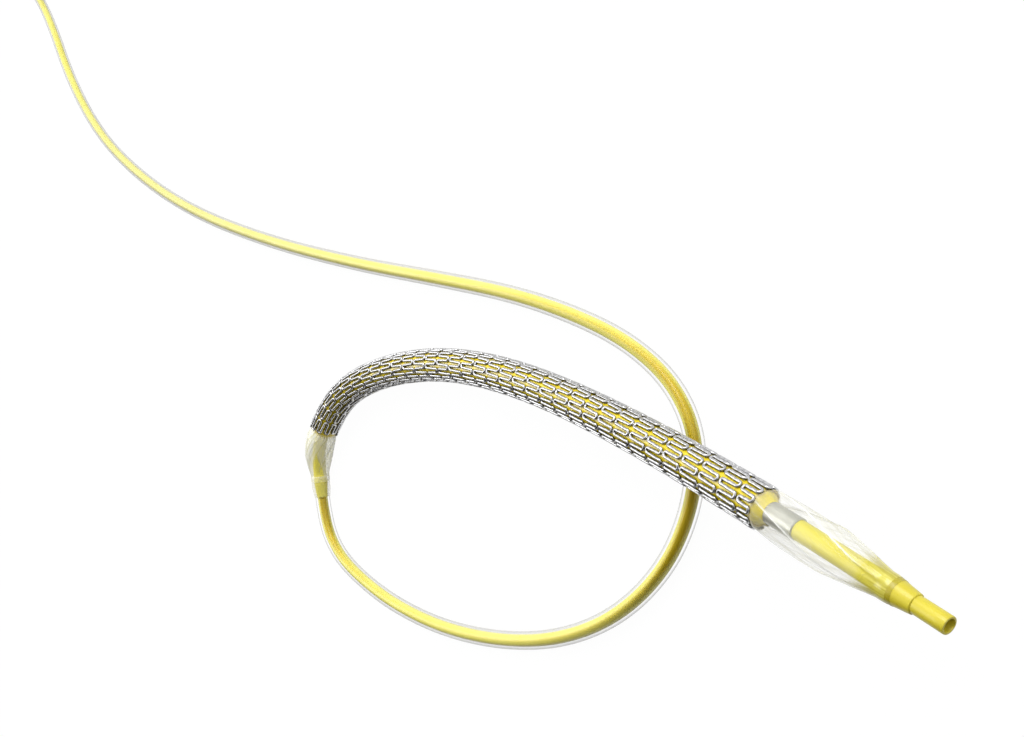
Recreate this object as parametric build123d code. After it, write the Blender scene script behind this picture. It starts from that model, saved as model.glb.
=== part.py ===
"""Balloon-expandable vascular stent, crimped on the end of its balloon catheter.

Millimetres, +Z up. The stent lies along +X with its proximal end at -X, curved as the
catheter lies on a table, and its far end leans over a loop of the catheter's own shaft.
The origin is at the bottom centre of the stent, balloon and tip.
"""
import math
import os

from build123d import *

# Stent: one wire, bent to a wave and wound round the balloon as a helix.
STENT_OD = 1.60
WIRE = 0.11                # width and thickness of the wire
STENT_LENGTH = 33.1
WAVES_PER_TURN = 11.5      # a half wave over, so that facing crowns meet head on
ROW_PITCH = 0.979          # one turn of the helix to the next
START_ANGLE = 235.0        # where the wire starts, round the underside of the balloon
CROWN_GAP = 0.045          # clear gap between facing crowns
CROWN_SHARE = 0.60         # part of a half wave that its flat crown takes
END_WAVE = 0.36            # height of the smallest wave, where the wire starts and stops
WELD_EVERY = 8             # half waves from one crown weld to the next
WELD_SIZE = 0.08

# Balloon: thin film, folded into pleats that wrap round the inner tube.
PLEATS = 5
POINTS_PER_PLEAT = 4
FILM_CLEARANCE = 0.02      # folded film to the stent's inside
SHOULDER_OD = 1.64
DISTAL_BULGE_OD = 1.68
NECK_OD = 1.02
PLEAT_DEPTH_UNDER_STENT = 0.05
PLEAT_DEPTH_CONE = 0.13
PLEAT_TWIST_CONE = 1.3     # radians that the pleats wind round along a cone
BALLOON_CAVITY_OD = 0.86   # room round the marker bands
END_PUCKER = 0.05          # length in which the film rises out of the stent's end
STATION_STEP = 1.5         # between the film's sections under the stent

# Tubes and bands inside and around the balloon.
LUMEN_D = 0.42             # takes a 0.36 mm guidewire
INNER_OD = 0.70
MARKER_OD = 0.80
MARKER_LENGTH = 1.3
TIP_OD = 0.60
TIP_SLEEVE_END_OD = 0.68
BOND_OD = 0.94
COLLAR_OD = 1.04

# Places along the centreline, measured from the shaft's end.
BOND_LENGTH = 1.0
COLLAR_LENGTH = 0.3
STENT_START = 3.9
NECK_LENGTH = 0.35
DISTAL_CONE_LENGTH = 5.2   # from the stent's end to the end of the balloon
TIP_SLEEVE_LENGTH = 1.1
SLEEVE_OVERLAP = 0.5       # of the sleeve over the inner tube's end
SOFT_TIP_LENGTH = 1.8
MARKER_GAP = 0.25          # from the stent's end to the distal marker band

# Catheter shaft and its coil.
SHAFT_OD = 0.80
COIL_CENTRE = (-72.0, 50.0)
COIL_COLUMNS = 7
COIL_LAYERS = 4
COIL_OUTER_RADIUS = 9.4    # to the middle of the outermost turn
COIL_GAP = 0.1             # from the coil's side to the shaft where it joins and leaves
COIL_EDGE_SHARE = 0.9      # the coil's edge radius over the shaft's
TIE_THICKNESS = 0.18
TIE_WIDTH = 2.6
TIE_ANGLE = 200.0
TIE_GAP = 0.12             # beside the bundle, which bends inside the straight strip
FLOOR_CLEARANCE = 0.02

# Hub: a two-armed manifold with a luer socket on each arm.
HUB_AXIS_Z = 3.6
HUB_GAP = 10.0             # from the coil's last turn to the strain relief
RELIEF_LENGTH = 15.0
RELIEF_TIP_OD = 1.7
RELIEF_OD = 3.2
RELIEF_RIBS = 6
RIB_HEIGHT = 0.25
RIB_SHARE = 0.4            # a rib's width over the ribs' spacing
BARREL_OD = 4.6
BARREL_LENGTH = 21.0
BARREL_BORE = 1.2
RELIEF_SEAT = 4.0          # of the strain relief inside the barrel
LUER_OD = 6.4
LUER_LENGTH = 9.0
LUER_BORE_MOUTH = 4.3
LUER_BORE_END = 3.9
LUER_LUG_SPAN = 7.0
LUER_LUG_LENGTH = 1.1
LUER_LUG_WIDTH = 3.4
LUER_DEPTH_SHARE = 0.8     # the socket's depth over the luer's length
LUER_CONE_SHARE = 0.25     # the part of the luer's length that widens to its rim
ARM_ANGLE = 38.0
ARM_LENGTH = 15.0
ARM_START = 6.5            # from the barrel's front end
WING_SPAN = 15.0
WING_LENGTH = 9.0
WING_THICKNESS = 1.2
WING_CORNER = 2.4
WING_SETBACK = 1.0         # from the barrel's end

# Route of the stent's centreline, from the shaft's end towards the tip. Its last run is cut or
# stretched to the length of what sits on it.
STENT_ROUTE = [
    (-19.3, -3.8, 0.50),
    (-19.5, -2.6, 0.57),
    (-19.1, -0.9, 0.88),
    (-18.2, 0.5, 0.84),
    (-16.6, 1.9, 0.84),
    (-14.3, 2.8, 0.84),
    (-11.1, 3.4, 0.84),
    (-6.9, 3.6, 0.88),
    (-1.8, 3.0, 1.04),
    (3.9, 1.6, 1.35),
    (11.9, -0.9, 2.15),
    (19.85, -3.83, 3.05),
]

# Route of the shaft, from the bond round its loop to the coil.
SHAFT_ROUTE = [
    (-19.3, -3.8, 0.50),
    (-19.05, -5.2, 0.44),
    (-17.9, -6.6, 0.42),
    (-15.9, -7.6, 0.42),
    (-12.4, -8.6, 0.42),
    (-8.0, -9.1, 0.42),
    (-3.5, -8.9, 0.42),
    (0.5, -8.1, 0.42),
    (3.9, -6.6, 0.42),
    (6.5, -4.4, 0.42),
    (7.9, -1.9, 0.42),
    (8.2, 0.7, 0.42),
    (7.0, 2.8, 0.42),
    (4.6, 4.4, 0.42),
    (1.4, 5.6, 0.42),
    (-2.8, 6.7, 0.42),
    (-8.5, 7.7, 0.42),
    (-16.3, 9.0, 0.42),
    (-26.0, 11.0, 0.42),
    (-36.5, 13.8, 0.42),
    (-46.0, 17.4, 0.42),
    (-54.5, 21.8, 0.42),
    (-61.5, 27.5, 0.42),
    (-67.0, 34.0, 0.42),
    (-71.6, 38.0, 0.52),
    (-77.15, 41.08, 0.60),
]


def fillet_radii(points, share=0.45):
    """Radius of the arc at each inner point, as large as its two runs allow."""
    radii = []
    for before, corner, after in zip(points, points[1:], points[2:]):
        run_in = Vector(*corner) - Vector(*before)
        run_out = Vector(*after) - Vector(*corner)
        half_turn = math.radians(run_in.get_angle(run_out)) / 2
        radii.append(share * min(run_in.length, run_out.length) / math.tan(half_turn))
    return radii


def smooth_path(points):
    """Straight runs joined by tangent arcs."""
    return FilletPolyline(*points, radius=fillet_radii(points)).wire()


def path_of_length(points, length):
    """Smooth path whose last run is cut or stretched so that the whole has this length."""
    radii = fillet_radii(points)
    spare = length - smooth_path(points).length
    before, last = Vector(*points[-2]), Vector(*points[-1])
    end = last + (last - before).normalized() * spare
    return FilletPolyline(*points[:-1], end, radius=radii).wire()


stent_end = STENT_START + STENT_LENGTH
balloon_start = BOND_LENGTH + COLLAR_LENGTH
balloon_end = stent_end + DISTAL_CONE_LENGTH
inner_end = balloon_end + SLEEVE_OVERLAP
tip_end = inner_end + SOFT_TIP_LENGTH
distal_marker_at = stent_end + MARKER_GAP
wire_radius = (STENT_OD - WIRE) / 2
centreline = path_of_length(STENT_ROUTE, tip_end)


def frame_at(s):
    """Point on the centreline at length s, with its tangent, side and up directions."""
    u = min(max(s / tip_end, 0.0), 1.0)
    tangent = centreline.tangent_at(u)
    side = Vector(0, 0, 1).cross(tangent).normalized()
    return centreline.position_at(u), tangent, side, tangent.cross(side)


def on_tube(s, angle, radius):
    """Point at an angle round the centreline, and the direction that points away from it."""
    point, _, side, up = frame_at(s)
    outward = side * math.cos(angle) + up * math.sin(angle)
    return point + outward * radius, outward


def plane_at(s):
    """Plane across the centreline at length s."""
    point, tangent, side, _ = frame_at(s)
    return Plane(origin=point, x_dir=side, z_dir=tangent)


def rod(start, end, diameter):
    """Solid round bar that follows the centreline."""
    path = centreline.trim(start / tip_end, end / tip_end)
    return sweep(plane_at(start) * Circle(diameter / 2), path=path)


def tube(start, end, outer, inner):
    """Round tube that follows the centreline."""
    path = centreline.trim(start / tip_end, end / tip_end)
    ring = plane_at(start) * (Circle(outer / 2) - Circle(inner / 2))
    return sweep(ring, path=path)


def straight_ring(start, profile):
    """Revolved piece on the straight end of the centreline; profile is (length, radius) pairs."""
    outline = make_face(Polyline(*[(radius, 0, along) for along, radius in profile], close=True))
    return plane_at(start) * revolve(outline, Axis.Z)


def wave_points():
    """Corner points of the stent's wire as (length, angle): two for each crown."""
    half_angle = math.pi / WAVES_PER_TURN
    height = ROW_PITCH - WIRE - CROWN_GAP
    first = STENT_START + WIRE / 2
    last = stent_end - WIRE / 2
    turns = (last - first - END_WAVE + height) / ROW_PITCH
    points = []
    for k in range(int(turns * 2 * WAVES_PER_TURN)):
        angle = math.radians(START_ANGLE) + k * half_angle
        distal = first + END_WAVE + ROW_PITCH * k * half_angle / (2 * math.pi)
        s = min(distal, last) if k % 2 else max(distal - height, first)
        half_crown = CROWN_SHARE / 2 * half_angle
        points.append((s, angle - half_crown))
        points.append((s, angle + half_crown))
    return points


def wire_section(before, here, after, outward):
    """Square section of the wire, mitred half way between its two runs."""
    run_in = (here - before).normalized()
    run_out = (after - here).normalized()
    along = (run_in + run_out).normalized()
    across = along.cross(outward).normalized()
    normal = across.cross(along)
    half = WIRE / 2
    stretch = half / run_in.dot(along)
    corners = [
        here + across * stretch + normal * half,
        here - across * stretch + normal * half,
        here - across * stretch - normal * half,
        here + across * stretch - normal * half,
    ]
    return Wire.make_polygon(corners, close=True)


def stent_wire():
    """The whole wire as one solid, through a section at each corner of the wave."""
    placed = [on_tube(s, angle, wire_radius) for s, angle in wave_points()]
    points = [point for point, _ in placed]
    first = points[0] * 2 - points[1]
    last = points[-1] * 2 - points[-2]
    ends = [first] + points + [last]
    sections = []
    for i, (point, outward) in enumerate(placed):
        sections.append(wire_section(ends[i], point, ends[i + 2], outward))
    return Solid.make_loft(sections, ruled=True)


def crown_welds():
    """Weld spots between facing crowns of neighbouring turns."""
    points = wave_points()
    per_turn = round(2 * WAVES_PER_TURN)
    welds = []
    for k in range(1, len(points) // 2 - per_turn, WELD_EVERY):
        near = crown_middle(points, k)
        far = crown_middle(points, k + per_turn)
        gap = (far - near).length - WIRE
        _, outward = on_tube(points[2 * k][0], points[2 * k][1], wire_radius)
        middle = (near + far) * 0.5
        place = Plane(origin=middle, x_dir=outward, z_dir=far - near)
        welds.append(place * Box(WELD_SIZE, WELD_SIZE, gap))
    return Compound(children=welds)


def crown_middle(points, k):
    """Middle of crown k of the wave."""
    start, _ = on_tube(*points[2 * k], wire_radius)
    end, _ = on_tube(*points[2 * k + 1], wire_radius)
    return (start + end) * 0.5


def balloon_stations():
    """(length, outer radius, pleat depth, twist) from the proximal neck to the distal one."""
    under = wire_radius - WIRE / 2 - FILM_CLEARANCE
    neck = NECK_OD / 2
    shoulder = SHOULDER_OD / 2
    bulge = DISTAL_BULGE_OD / 2
    cone = STENT_START - balloon_start
    deep = PLEAT_DEPTH_CONE
    shallow = PLEAT_DEPTH_UNDER_STENT
    twist = PLEAT_TWIST_CONE
    stations = [
        (balloon_start, neck, 0.0, -twist),
        (balloon_start + NECK_LENGTH, neck, 0.0, -0.85 * twist),
        (balloon_start + 0.32 * cone, neck + 0.35 * (shoulder - neck), 0.5 * deep, -0.7 * twist),
        (balloon_start + 0.52 * cone, neck + 0.72 * (shoulder - neck), deep, -0.5 * twist),
        (balloon_start + 0.72 * cone, neck + 0.95 * (shoulder - neck), deep, -0.3 * twist),
        (balloon_start + 0.86 * cone, shoulder, 0.7 * deep, -0.15 * twist),
        (STENT_START - END_PUCKER, shoulder - FILM_CLEARANCE, 0.5 * deep, 0.0),
        (STENT_START + 3 * END_PUCKER, under, shallow, 0.0),
    ]
    spans = round(STENT_LENGTH / STATION_STEP)
    step = (STENT_LENGTH - 6 * END_PUCKER) / spans
    for i in range(1, spans):
        stations.append((STENT_START + 3 * END_PUCKER + i * step, under, shallow, 0.0))
    cone = balloon_end - stent_end
    stations += [
        (stent_end - 3 * END_PUCKER, under, shallow, 0.0),
        (stent_end + END_PUCKER, shoulder - FILM_CLEARANCE, 0.5 * deep, 0.0),
        (stent_end + 0.20 * cone, shoulder, deep, 0.2 * twist),
        (stent_end + 0.38 * cone, bulge, deep, 0.4 * twist),
        (stent_end + 0.55 * cone, bulge, deep, 0.6 * twist),
        (stent_end + 0.68 * cone, bulge - 0.25 * (bulge - neck), deep, 0.75 * twist),
        (stent_end + 0.80 * cone, bulge - 0.55 * (bulge - neck), 0.7 * deep, 0.88 * twist),
        (stent_end + 0.90 * cone, bulge - 0.85 * (bulge - neck), 0.3 * deep, 0.95 * twist),
        (balloon_end - 0.02 * cone, neck, 0.0, twist),
        (balloon_end, neck, 0.0, twist),
    ]
    return stations


def pleated_section(s, radius, depth, twist):
    """Outline of the folded film: each pleat rises slowly and drops at its free edge."""
    count = PLEATS * POINTS_PER_PLEAT
    corners = []
    for i in range(count):
        rise = (i % POINTS_PER_PLEAT) / (POINTS_PER_PLEAT - 1)
        angle = 2 * math.pi * i / count + twist
        corners.append(on_tube(s, angle, radius * (1 - depth * (1 - rise)))[0])
    return Wire.make_polygon(corners, close=True)


def balloon():
    """Folded balloon, hollow for the inner tube and its marker bands."""
    film = Solid.make_loft([pleated_section(*row) for row in balloon_stations()], ruled=True)
    film -= rod(balloon_start - 0.1, balloon_end + 0.1, INNER_OD)
    film -= rod(balloon_start + NECK_LENGTH, balloon_end - NECK_LENGTH, BALLOON_CAVITY_OD)
    return film


def tip_sleeve():
    """Tapered sleeve that joins the balloon's neck, the inner tube and the soft tip."""
    length = TIP_SLEEVE_LENGTH
    return straight_ring(balloon_end, [
        (0.0, INNER_OD / 2),
        (0.0, COLLAR_OD / 2),
        (0.15 * length, COLLAR_OD / 2),
        (0.55 * length, 0.5 * (COLLAR_OD + TIP_SLEEVE_END_OD) / 2),
        (length, TIP_SLEEVE_END_OD / 2),
        (length, TIP_OD / 2),
        (SLEEVE_OVERLAP, TIP_OD / 2),
        (SLEEVE_OVERLAP, INNER_OD / 2),
    ])


coil_inner_radius = COIL_OUTER_RADIUS - (COIL_COLUMNS - 1) * SHAFT_OD
coil_bottom = FLOOR_CLEARANCE + TIE_THICKNESS
coil_height = COIL_LAYERS * SHAFT_OD
coil_top_turn = coil_bottom + coil_height - SHAFT_OD / 2
ring_outer = COIL_OUTER_RADIUS + SHAFT_OD / 2
ring_inner = coil_inner_radius - SHAFT_OD / 2


def shaft_tube(points):
    """Round bar of the shaft's diameter along straight runs and arcs."""
    path = smooth_path(points)
    start = Plane(origin=path @ 0, z_dir=path % 0)
    return sweep(start * Circle(SHAFT_OD / 2), path=path)


def catheter_coil():
    """Outer shape of the wound shaft."""
    width = ring_outer - ring_inner
    centre = (ring_outer + ring_inner) / 2
    section = Plane.XZ * Pos(centre, coil_bottom + coil_height / 2) * RectangleRounded(
        width, coil_height, COIL_EDGE_SHARE * SHAFT_OD / 2)
    return Pos(*COIL_CENTRE, 0) * revolve(section, Axis.Z)


hub_x = COIL_CENTRE[0] + HUB_GAP
hub_y = COIL_CENTRE[1] + ring_outer + COIL_GAP + SHAFT_OD / 2
hub_plane = Plane(origin=(hub_x, hub_y, HUB_AXIS_Z), x_dir=(0, 1, 0), z_dir=(1, 0, 0))


def hub_lead():
    """The shaft from the coil's last turn up to the strain relief."""
    start = COIL_CENTRE[0]
    return shaft_tube([
        (start, hub_y, coil_top_turn),
        (start + 0.4 * HUB_GAP, hub_y, coil_top_turn),
        (start + 0.75 * HUB_GAP, hub_y, HUB_AXIS_Z),
        (hub_x, hub_y, HUB_AXIS_Z),
    ])


def coil_tie():
    """Strip wrapped once round the coil's bundle."""
    width = ring_outer - ring_inner
    middle = (ring_outer + ring_inner) / 2
    outer = Box(width + 2 * (TIE_GAP + TIE_THICKNESS), TIE_WIDTH, coil_height + 2 * TIE_THICKNESS)
    inner = Box(width + 2 * TIE_GAP, 2 * TIE_WIDTH, coil_height)
    bend = Pos(0, 0, coil_bottom + coil_height / 2) * Rot(0, 0, TIE_ANGLE) * Pos(middle, 0, 0)
    return Pos(*COIL_CENTRE, 0) * bend * (outer - inner)


def revolved(profile):
    """Revolved solid on the Z axis; profile is (length, radius) pairs."""
    outline = Polyline(*[(radius, 0, along) for along, radius in profile], close=True)
    return revolve(make_face(outline), Axis.Z)


def strain_relief():
    """Ribbed tapering sleeve between the shaft and the manifold."""
    free = RELIEF_LENGTH - RELIEF_SEAT
    body = revolved([
        (0.0, 0.0),
        (0.0, RELIEF_TIP_OD / 2),
        (free, RELIEF_OD / 2),
        (RELIEF_LENGTH, RELIEF_OD / 2),
        (RELIEF_LENGTH, 0.0),
    ])
    rib_step = free / (RELIEF_RIBS + 1)
    for i in range(RELIEF_RIBS):
        along = rib_step * (i + 1)
        radius = (RELIEF_TIP_OD + (RELIEF_OD - RELIEF_TIP_OD) * along / free) / 2
        body += Pos(0, 0, along) * Cylinder(radius + RIB_HEIGHT, RIB_SHARE * rib_step)
    return hub_plane * body


def luer_body(length):
    """Female luer end: a thick cup with two lock lugs on its rim."""
    cup = revolved([
        (0.0, 0.0),
        (0.0, BARREL_OD / 2),
        (LUER_CONE_SHARE * length, LUER_OD / 2),
        (length, LUER_OD / 2),
        (length, 0.0),
    ])
    lug_at = length - LUER_LUG_LENGTH / 2
    lug = Cylinder(LUER_LUG_SPAN / 2, LUER_LUG_LENGTH)
    lug &= Box(LUER_LUG_WIDTH, 2 * LUER_LUG_SPAN, LUER_LUG_LENGTH)
    return cup + Pos(0, 0, lug_at) * lug


def luer_socket(length):
    """Tapered socket that a syringe's cone pushes into, and the lumen behind it."""
    depth = LUER_DEPTH_SHARE * length
    return revolved([
        (-length, 0.0),
        (-length, BARREL_BORE / 2),
        (length - depth, BARREL_BORE / 2),
        (length - depth, LUER_BORE_END / 2),
        (length, LUER_BORE_MOUTH / 2),
        (length, 0.0),
    ])


def hub_manifold():
    """One moulding: straight barrel for the guidewire, slanted arm for inflation, two wings."""
    barrel_at = RELIEF_LENGTH - RELIEF_SEAT
    barrel = Pos(0, 0, barrel_at + BARREL_LENGTH / 2) * Cylinder(BARREL_OD / 2, BARREL_LENGTH)
    main_luer = Pos(0, 0, barrel_at + BARREL_LENGTH)
    arm_root = Pos(0, 0, barrel_at + ARM_START) * Rot(0, ARM_ANGLE, 0)
    arm = arm_root * Pos(0, 0, ARM_LENGTH / 2) * Cylinder(BARREL_OD / 2, ARM_LENGTH)
    side_luer = arm_root * Pos(0, 0, ARM_LENGTH)
    wing_at = barrel_at + BARREL_LENGTH - WING_LENGTH / 2 - WING_SETBACK
    wings = Pos(0, 0, wing_at) * Box(WING_SPAN, WING_THICKNESS, WING_LENGTH)
    wings = fillet(wings.edges().filter_by(Axis.Y), WING_CORNER)
    body = barrel + arm + wings + main_luer * luer_body(LUER_LENGTH) + side_luer * luer_body(LUER_LENGTH)
    body -= main_luer * luer_socket(LUER_LENGTH)
    body -= side_luer * luer_socket(LUER_LENGTH)
    body -= arm_root * Pos(0, 0, ARM_LENGTH / 2) * Cylinder(BARREL_BORE / 2, ARM_LENGTH)
    bore_length = BARREL_LENGTH - RELIEF_SEAT
    bore_at = barrel_at + RELIEF_SEAT + bore_length / 2
    body -= Pos(0, 0, bore_at) * Cylinder(BARREL_BORE / 2, bore_length)
    body -= Pos(0, 0, barrel_at + RELIEF_SEAT / 2) * Cylinder(RELIEF_OD / 2, RELIEF_SEAT)
    return hub_plane * body


parts = {
    "stent": stent_wire(),
    "crown_welds": crown_welds(),
    "balloon": balloon(),
    "inner_tube": tube(0.0, inner_end, INNER_OD, LUMEN_D),
    "proximal_marker": tube(STENT_START, STENT_START + MARKER_LENGTH, MARKER_OD, INNER_OD),
    "distal_marker": tube(distal_marker_at, distal_marker_at + MARKER_LENGTH, MARKER_OD, INNER_OD),
    "bond_sleeve": tube(0.0, BOND_LENGTH, BOND_OD, INNER_OD),
    "bond_collar": tube(BOND_LENGTH, BOND_LENGTH + COLLAR_LENGTH, COLLAR_OD, INNER_OD),
    "tip_sleeve": tip_sleeve(),
    "soft_tip": tube(inner_end, tip_end, TIP_OD, LUMEN_D),
    "catheter_shaft": shaft_tube(SHAFT_ROUTE),
    "catheter_coil": catheter_coil(),
    "coil_tie": coil_tie(),
    "hub_lead": hub_lead(),
    "strain_relief": strain_relief(),
    "hub_manifold": hub_manifold(),
}

os.makedirs("parts", exist_ok=True)
for name, shape in parts.items():
    export_step(shape, f"parts/{name}.step")

print("centreline length", round(centreline.length, 2), "wanted", round(tip_end, 2))
print("stent route radii", [round(radius, 1) for radius in fillet_radii(STENT_ROUTE)])
print("shaft route radii", [round(radius, 1) for radius in fillet_radii(SHAFT_ROUTE)])
shaft_length = smooth_path(SHAFT_ROUTE).length
print("shaft length to the coil", round(shaft_length, 1))
print("shaft volume over section times length",
      round(parts["catheter_shaft"].volume / (math.pi * SHAFT_OD ** 2 / 4 * shaft_length), 4))
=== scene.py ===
import math

import bmesh
import bpy
from mathutils import Matrix, Vector
from mathutils.kdtree import KDTree


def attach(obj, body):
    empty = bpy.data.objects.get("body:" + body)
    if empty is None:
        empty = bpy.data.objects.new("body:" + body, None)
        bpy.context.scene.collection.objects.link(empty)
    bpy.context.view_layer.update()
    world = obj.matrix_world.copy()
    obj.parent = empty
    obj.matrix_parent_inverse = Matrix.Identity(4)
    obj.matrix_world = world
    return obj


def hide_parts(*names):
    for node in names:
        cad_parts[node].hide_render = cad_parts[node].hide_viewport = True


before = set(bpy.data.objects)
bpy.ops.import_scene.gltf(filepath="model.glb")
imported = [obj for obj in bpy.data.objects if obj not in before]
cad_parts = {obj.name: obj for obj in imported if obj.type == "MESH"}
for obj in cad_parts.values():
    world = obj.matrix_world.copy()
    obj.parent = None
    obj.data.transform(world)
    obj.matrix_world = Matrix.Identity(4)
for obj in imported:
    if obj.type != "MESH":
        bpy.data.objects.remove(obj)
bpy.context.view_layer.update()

# Catheter shaft: a clear outer tube over a mustard core with a light yellow liner. It leaves
# the balloon's bond, makes one open loop under the stent and runs off to the left, where the
# rest of its length is wound in layers and goes on to the hub.
SHAFT_DIAMETER = 0.0008
LINER_DIAMETER = 0.00054
CORE_DIAMETER = 0.00042
SHAFT_ROUTE = [
    (-0.0193, -0.0038, 0.00050),
    (-0.01905, -0.0052, 0.00044),
    (-0.0179, -0.0066, 0.00042),
    (-0.0159, -0.0076, 0.00042),
    (-0.0124, -0.0086, 0.00042),
    (-0.0080, -0.0091, 0.00042),
    (-0.0035, -0.0089, 0.00042),
    (0.0005, -0.0081, 0.00042),
    (0.0039, -0.0066, 0.00042),
    (0.0065, -0.0044, 0.00042),
    (0.0079, -0.0019, 0.00042),
    (0.0082, 0.0007, 0.00042),
    (0.0070, 0.0028, 0.00042),
    (0.0046, 0.0044, 0.00042),
    (0.0014, 0.0056, 0.00042),
    (-0.0028, 0.0067, 0.00042),
    (-0.0085, 0.0077, 0.00042),
    (-0.0163, 0.0090, 0.00042),
    (-0.0260, 0.0110, 0.00042),
    (-0.0365, 0.0138, 0.00042),
    (-0.0460, 0.0174, 0.00042),
    (-0.0545, 0.0218, 0.00042),
    (-0.0615, 0.0275, 0.00042),
    (-0.0670, 0.0340, 0.00042),
    (-0.0716, 0.0380, 0.00052),
    (-0.07715, 0.04108, 0.00060),
]
HUB_LEAD = [
    (-0.0720, 0.0603, 0.0030),
    (-0.0680, 0.0603, 0.0030),
    (-0.0645, 0.0603, 0.0036),
    (-0.0620, 0.0603, 0.0036),
    (-0.0612, 0.0603, 0.0036),
]
COIL_CENTRE = Vector((-0.072, 0.050, 0.0))
COIL_OUTER_RADIUS = 0.0094
COIL_BOTTOM = 0.0006
COIL_COLUMNS = 6           # turns from the outer radius to the inner one
COIL_LAYERS = 4
COIL_START = -120.0        # degrees round the coil where the shaft reaches it
COIL_TURNS = 27 + 150 / 360
POINTS_PER_TURN = 16
JOIN_TURNS = 0.12          # in which the shaft moves in beside the outermost turn
JOIN_OFFSET = 0.0009
SPLINE_STEPS = 12          # between two points of the shaft
MEASURE_STEPS = 8


def coil_place(turn):
    """Radius and height of the wound shaft after that many turns."""
    wound = min(max(turn - JOIN_TURNS, 0.0), COIL_LAYERS * (COIL_COLUMNS + 1) - 1.0)
    layer = min(int(wound / (COIL_COLUMNS + 1)), COIL_LAYERS - 1)
    within = wound - layer * (COIL_COLUMNS + 1)
    crossed = min(within, COIL_COLUMNS)
    if layer % 2:
        crossed = COIL_COLUMNS - crossed
    climb = max(within - COIL_COLUMNS, 0.0)
    radius = COIL_OUTER_RADIUS - SHAFT_DIAMETER * crossed
    from_end = min(turn, COIL_TURNS - turn)
    aside = max(1.0 - from_end / JOIN_TURNS, 0.0)
    radius += JOIN_OFFSET * aside * aside * (3 - 2 * aside)
    return radius, COIL_BOTTOM + SHAFT_DIAMETER * (layer + climb)


shaft_points = [Vector(point) for point in SHAFT_ROUTE]
for i in range(1, int(COIL_TURNS * POINTS_PER_TURN)):
    turn = i / POINTS_PER_TURN
    radius, height = coil_place(turn)
    radius /= math.cos(math.pi / POINTS_PER_TURN)
    angle = math.radians(COIL_START - 360 * turn)
    shaft_points.append(COIL_CENTRE + Vector(
        (radius * math.cos(angle), radius * math.sin(angle), height)))
shaft_points += [Vector(point) for point in HUB_LEAD]


def spline_through(name, points, steps, diameter=0.0, half_sides=0):
    """Curve with one open NURBS spline; without a diameter it stays a bare line."""
    curve = bpy.data.curves.new(name, "CURVE")
    curve.dimensions = "3D"
    spline = curve.splines.new("NURBS")
    spline.points.add(len(points) - 1)
    for knot, point in zip(spline.points, points):
        knot.co = (*point, 1.0)
    spline.order_u = 3
    spline.use_endpoint_u = True
    curve.resolution_u = steps
    spline.resolution_u = steps
    curve.bevel_depth = diameter / 2
    curve.bevel_resolution = half_sides
    curve.use_fill_caps = diameter > 0
    made = bpy.data.objects.new(name, curve)
    bpy.context.scene.collection.objects.link(made)
    return made


def places_on(points, steps):
    """Places that follow one another on the spline through those points."""
    line = spline_through("line", points, steps)
    mesh = bpy.data.meshes.new_from_object(line)
    places = [vertex.co.copy() for vertex in mesh.vertices]
    bpy.data.objects.remove(line)
    bpy.data.meshes.remove(mesh)
    return places


MOTTLE_PER_GRAIN = 0.08


def polymer_grain():
    """Node group: slow mottle and fine grain of drawn and moulded polymers."""
    group = bpy.data.node_groups.new("polymer_grain", "ShaderNodeTree")
    group.interface.new_socket("Position", in_out="INPUT", socket_type="NodeSocketVector")
    group.interface.new_socket("Grains per metre", in_out="INPUT", socket_type="NodeSocketFloat")
    group.interface.new_socket("Mottle", in_out="OUTPUT", socket_type="NodeSocketFloat")
    group.interface.new_socket("Grain", in_out="OUTPUT", socket_type="NodeSocketFloat")
    enter = group.nodes.new("NodeGroupInput")
    leave = group.nodes.new("NodeGroupOutput")
    slower = group.nodes.new("ShaderNodeMath")
    slower.operation = "MULTIPLY"
    slower.inputs[1].default_value = MOTTLE_PER_GRAIN
    group.links.new(enter.outputs["Grains per metre"], slower.inputs[0])
    for scale, detail, result in ((slower.outputs[0], 2.0, "Mottle"),
                                  (enter.outputs["Grains per metre"], 4.0, "Grain")):
        noise = group.nodes.new("ShaderNodeTexNoise")
        noise.inputs["Detail"].default_value = detail
        group.links.new(enter.outputs["Position"], noise.inputs["Vector"])
        group.links.new(scale, noise.inputs["Scale"])
        group.links.new(noise.outputs["Fac"], leave.inputs[result])
    return group


grain_group = polymer_grain()


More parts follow.
